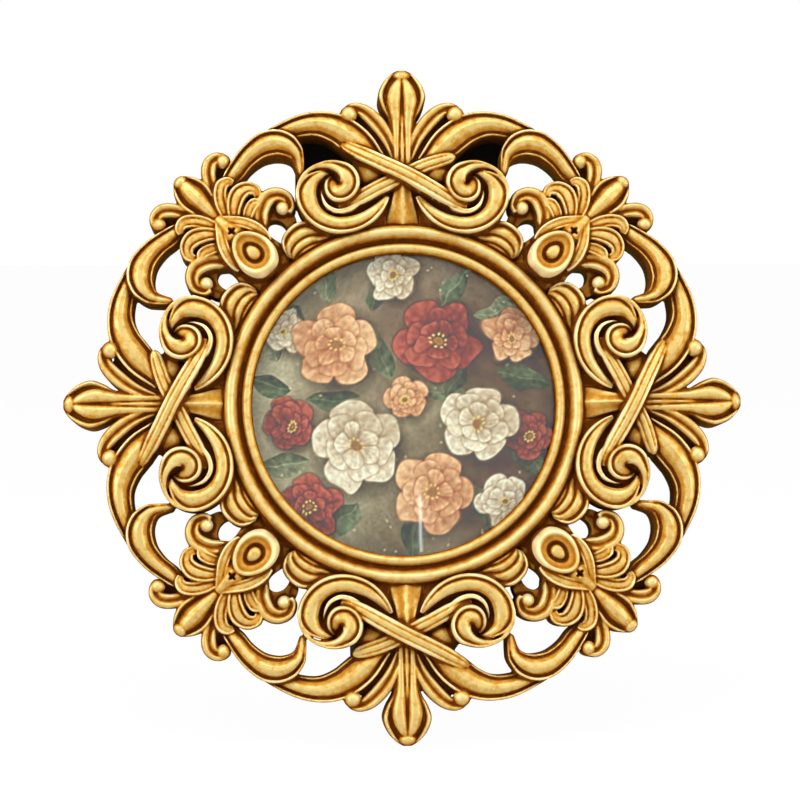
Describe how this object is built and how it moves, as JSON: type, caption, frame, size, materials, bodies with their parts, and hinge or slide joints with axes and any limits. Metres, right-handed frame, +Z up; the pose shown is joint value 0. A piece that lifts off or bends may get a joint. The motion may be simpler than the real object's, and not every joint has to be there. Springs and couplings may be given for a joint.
{
  "type": "photo frame",
  "caption": "Round gilt resin photo frame with openwork scrolls, leaves and trumpet flowers round a glazed print, with a hinged easel leg and a hanger behind.",
  "frame": {"origin": "centre of the bounding box at the surface the frame stands on", "axes": "+Z up, the picture faces -Y and leans back 12 degrees, +X to the viewer's right, the easel leg stands off towards +Y"},
  "size_m": [0.2164, 0.0808, 0.2134],
  "materials": {
    "gilt_resin": "satin",
    "clear_glass": "polished",
    "printed_paper": "matte",
    "grey_card": "matte",
    "black_flocked_board": "matte",
    "brassed_steel": "satin",
    "plated_steel": "satin"
  },
  "bodies": {
    "frame": {"frame_ring": "gilt_resin", "crest_top": "gilt_resin", "crest_left": "gilt_resin", "crest_bottom": "gilt_resin", "crest_right": "gilt_resin", "spray_ne": "gilt_resin", "spray_nw": "gilt_resin", "spray_sw": "gilt_resin", "spray_se": "gilt_resin", "glass_pane": "clear_glass", "photo_print": "printed_paper", "filler_card": "grey_card", "back_board": "black_flocked_board", "turn_button_screw_1": "plated_steel", "turn_button_screw_2": "plated_steel", "turn_button_screw_3": "plated_steel", "turn_button_screw_4": "plated_steel", "strut_plate": "black_flocked_board", "strut_plate_screw_1": "plated_steel", "strut_plate_screw_2": "plated_steel", "strut_plate_screw_3": "plated_steel", "strut_plate_screw_4": "plated_steel", "sawtooth_hanger": "plated_steel", "hanger_nail_1": "plated_steel", "hanger_nail_2": "plated_steel", "hinge_fixed_leaf": "plated_steel", "hinge_pin": "plated_steel", "hinge_rivet_1": "plated_steel", "hinge_rivet_2": "plated_steel"},
    "leg": {"easel_leg": "black_flocked_board", "hinge_moving_leaf": "plated_steel", "leg_rivet_1": "plated_steel", "leg_rivet_2": "plated_steel"},
    "button_1": {"turn_button_1": "brassed_steel"},
    "button_2": {"turn_button_2": "brassed_steel"},
    "button_3": {"turn_button_3": "brassed_steel"},
    "button_4": {"turn_button_4": "brassed_steel"}
  },
  "joints": [
    {"name": "leg_fold", "type": "hinge", "parent": "frame", "child": "leg", "pos_m": [0, 0.01212, 0.16494], "axis": [-1, 0, 0], "range_deg": [0, 22]},
    {"name": "button_1_turn", "type": "hinge", "parent": "frame", "child": "button_1", "pos_m": [0.039, 0.00338, 0.14328], "axis": [0, 0.9781, -0.2079], "continuous": true},
    {"name": "button_2_turn", "type": "hinge", "parent": "frame", "child": "button_2", "pos_m": [-0.039, 0.00338, 0.14328], "axis": [0, 0.9781, -0.2079], "continuous": true},
    {"name": "button_3_turn", "type": "hinge", "parent": "frame", "child": "button_3", "pos_m": [-0.039, -0.01284, 0.06699], "axis": [0, 0.9781, -0.2079], "continuous": true},
    {"name": "button_4_turn", "type": "hinge", "parent": "frame", "child": "button_4", "pos_m": [0.039, -0.01284, 0.06699], "axis": [0, 0.9781, -0.2079], "continuous": true}
  ]
}
